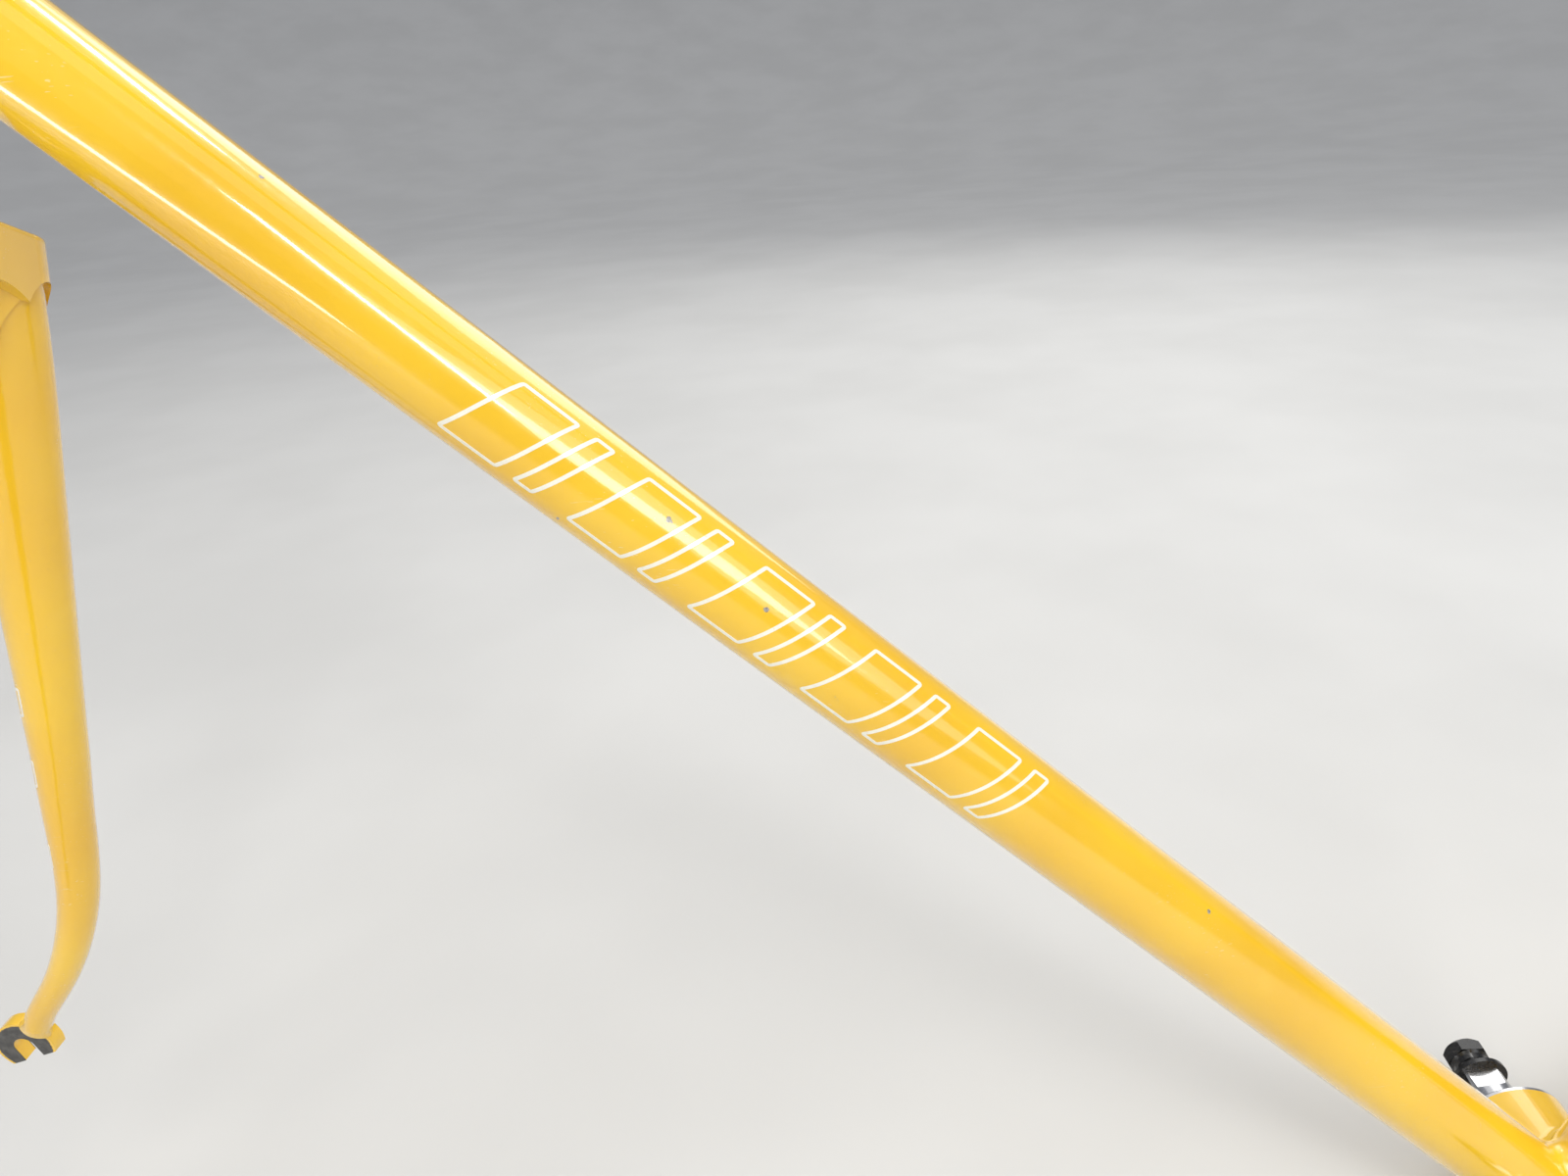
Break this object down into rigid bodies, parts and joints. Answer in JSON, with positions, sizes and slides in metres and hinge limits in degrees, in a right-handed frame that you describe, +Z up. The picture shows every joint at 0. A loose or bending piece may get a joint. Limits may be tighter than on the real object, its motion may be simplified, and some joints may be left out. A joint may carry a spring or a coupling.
{
  "type": "bicycle frame",
  "caption": "Lugless steel track bicycle frame with raked fork, threaded headset and square-taper bottom bracket.",
  "frame": {"origin": "middle of the bottom bracket, on the crank spindle's axis", "axes": "+X to the rear, +Y to the drive side along the crank spindle, +Z up"},
  "size_m": [1.0179, 0.141, 0.6105],
  "materials": {
    "yellow_paint": "glossy yellow paint with a clear coat",
    "headset_chrome": "bright chrome",
    "bearing_steel": "ground and polished steel",
    "retainer_steel": "plain drawn steel",
    "cup_alloy": "polished alloy",
    "black_steel": "blackened steel, slightly glossy",
    "seal_rubber": "black rubber"
  },
  "bodies": {
    "frame": {"head_tube": "yellow_paint", "down_tube": "yellow_paint", "top_tube": "yellow_paint", "seat_tube": "yellow_paint", "bb_shell": "yellow_paint", "braze_head_down": "yellow_paint", "braze_head_top": "yellow_paint", "braze_seat_top": "yellow_paint", "braze_shell": "yellow_paint", "chainstay_left": "yellow_paint", "chainstay_right": "yellow_paint", "seatstay_left": "yellow_paint", "seatstay_right": "yellow_paint", "seatstay_caps": "yellow_paint", "seatstay_bridge": "yellow_paint", "chainstay_bridge": "yellow_paint", "track_end_left": "yellow_paint", "track_end_right": "yellow_paint", "seat_binder_ears": "yellow_paint", "seat_binder_bolt": "headset_chrome", "seat_binder_nut": "headset_chrome", "headset_lower_cup": "headset_chrome", "headset_upper_cup": "headset_chrome", "bb_cup_left": "cup_alloy", "bb_cup_right": "cup_alloy", "bb_sleeve": "retainer_steel", "bb_bearing_outer_left": "bearing_steel", "bb_bearing_outer_right": "bearing_steel", "bb_seals_left": "seal_rubber", "bb_seals_right": "seal_rubber"},
    "fork": {"steerer": "retainer_steel", "fork_crown": "yellow_paint", "fork_blade_left": "yellow_paint", "fork_blade_right": "yellow_paint", "fork_tip_left": "yellow_paint", "fork_tip_right": "yellow_paint", "crown_race": "headset_chrome", "headset_top_cone": "headset_chrome", "headset_washer": "headset_chrome", "headset_locknut": "headset_chrome"},
    "lower_bearing": {"lower_balls": "bearing_steel", "lower_ball_retainer": "retainer_steel"},
    "upper_bearing": {"upper_balls": "bearing_steel", "upper_ball_retainer": "retainer_steel"},
    "spindle": {"bb_spindle": "bearing_steel", "bb_bearing_inner_left": "bearing_steel", "bb_bearing_inner_right": "bearing_steel", "crank_bolt_left": "black_steel", "crank_bolt_right": "black_steel"},
    "left_crank_bearing": {"bb_balls_left": "bearing_steel", "bb_cage_left": "retainer_steel"},
    "right_crank_bearing": {"bb_balls_right": "bearing_steel", "bb_cage_right": "retainer_steel"}
  },
  "joints": [
    {"name": "steering", "type": "hinge", "parent": "frame", "child": "fork", "pos_m": [-0.46792, 0, 0.38912], "axis": [0.2756, 0, 0.9613], "continuous": true},
    {"name": "lower_bearing_turn", "type": "hinge", "parent": "frame", "child": "lower_bearing", "pos_m": [-0.46792, 0, 0.38912], "axis": [0.2756, 0, 0.9613], "continuous": true},
    {"name": "upper_bearing_turn", "type": "hinge", "parent": "frame", "child": "upper_bearing", "pos_m": [-0.46792, 0, 0.38912], "axis": [0.2756, 0, 0.9613], "continuous": true},
    {"name": "spindle_turn", "type": "hinge", "parent": "frame", "child": "spindle", "pos_m": [0, 0, 0], "axis": [0, 1, 0], "continuous": true},
    {"name": "left_crank_bearing_turn", "type": "hinge", "parent": "frame", "child": "left_crank_bearing", "pos_m": [0, 0, 0], "axis": [0, 1, 0], "continuous": true},
    {"name": "right_crank_bearing_turn", "type": "hinge", "parent": "frame", "child": "right_crank_bearing", "pos_m": [0, 0, 0], "axis": [0, 1, 0], "continuous": true}
  ],
  "couplings": [
    {"joint": "lower_bearing_turn", "follows": "steering", "ratio": 0.457},
    {"joint": "upper_bearing_turn", "follows": "steering", "ratio": 0.457},
    {"joint": "left_crank_bearing_turn", "follows": "spindle_turn", "ratio": 0.422},
    {"joint": "right_crank_bearing_turn", "follows": "spindle_turn", "ratio": 0.422}
  ]
}
